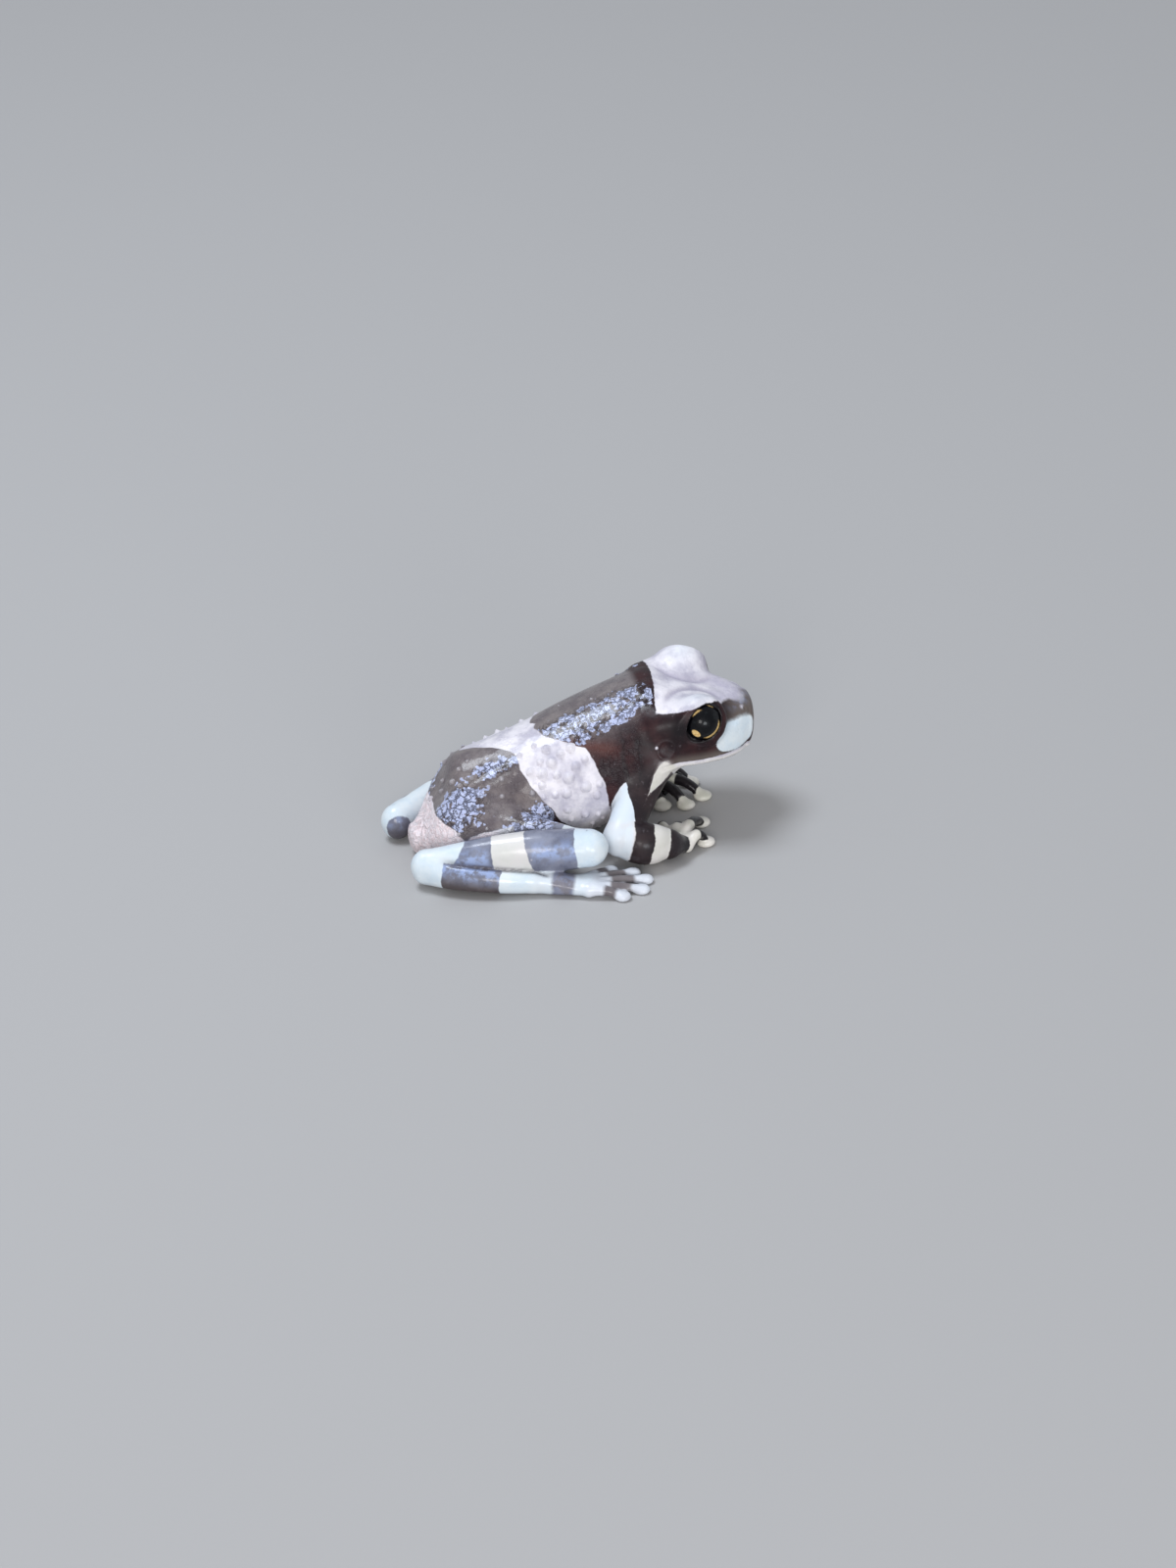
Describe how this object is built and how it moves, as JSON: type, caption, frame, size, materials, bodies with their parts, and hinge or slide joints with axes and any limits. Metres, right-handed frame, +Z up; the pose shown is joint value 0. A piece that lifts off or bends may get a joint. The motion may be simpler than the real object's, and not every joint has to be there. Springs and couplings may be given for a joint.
{
  "type": "amazon milk frog",
  "caption": "Still life-size tree frog sitting with folded hind legs and hands under its chin, with domed eyes and toe discs.",
  "frame": {"origin": "on the floor under the middle of the bounding box", "axes": "+X towards the snout, +Y to the frog's left, +Z up"},
  "size_m": [0.0496, 0.0462, 0.0213],
  "materials": {
    "body_skin": "moist satin, dark brown bands and pale granular flanks",
    "head_skin": "moist satin, lilac white crown over a dark brown mask",
    "limb_skin": "moist satin, white blue and grey bands",
    "hand_skin": "moist satin, cream and black",
    "ear_skin": "satin",
    "eye": "wet gloss, gold iris cut by a black cross"
  },
  "bodies": {
    "root": {"torso": "body_skin", "head": "head_skin", "lower_jaw": "head_skin", "eye_right": "eye", "eye_left": "eye", "tympanum_right": "ear_skin", "tympanum_left": "ear_skin", "thigh_right": "limb_skin", "thigh_left": "limb_skin", "shank_right": "limb_skin", "shank_left": "limb_skin", "tarsus_right": "limb_skin", "tarsus_left": "limb_skin", "foot_right": "hand_skin", "foot_left": "hand_skin", "upper_arm_right": "limb_skin", "upper_arm_left": "limb_skin", "forearm_right": "limb_skin", "forearm_left": "limb_skin", "hand_right": "hand_skin", "hand_left": "hand_skin"}
  },
  "joints": []
}
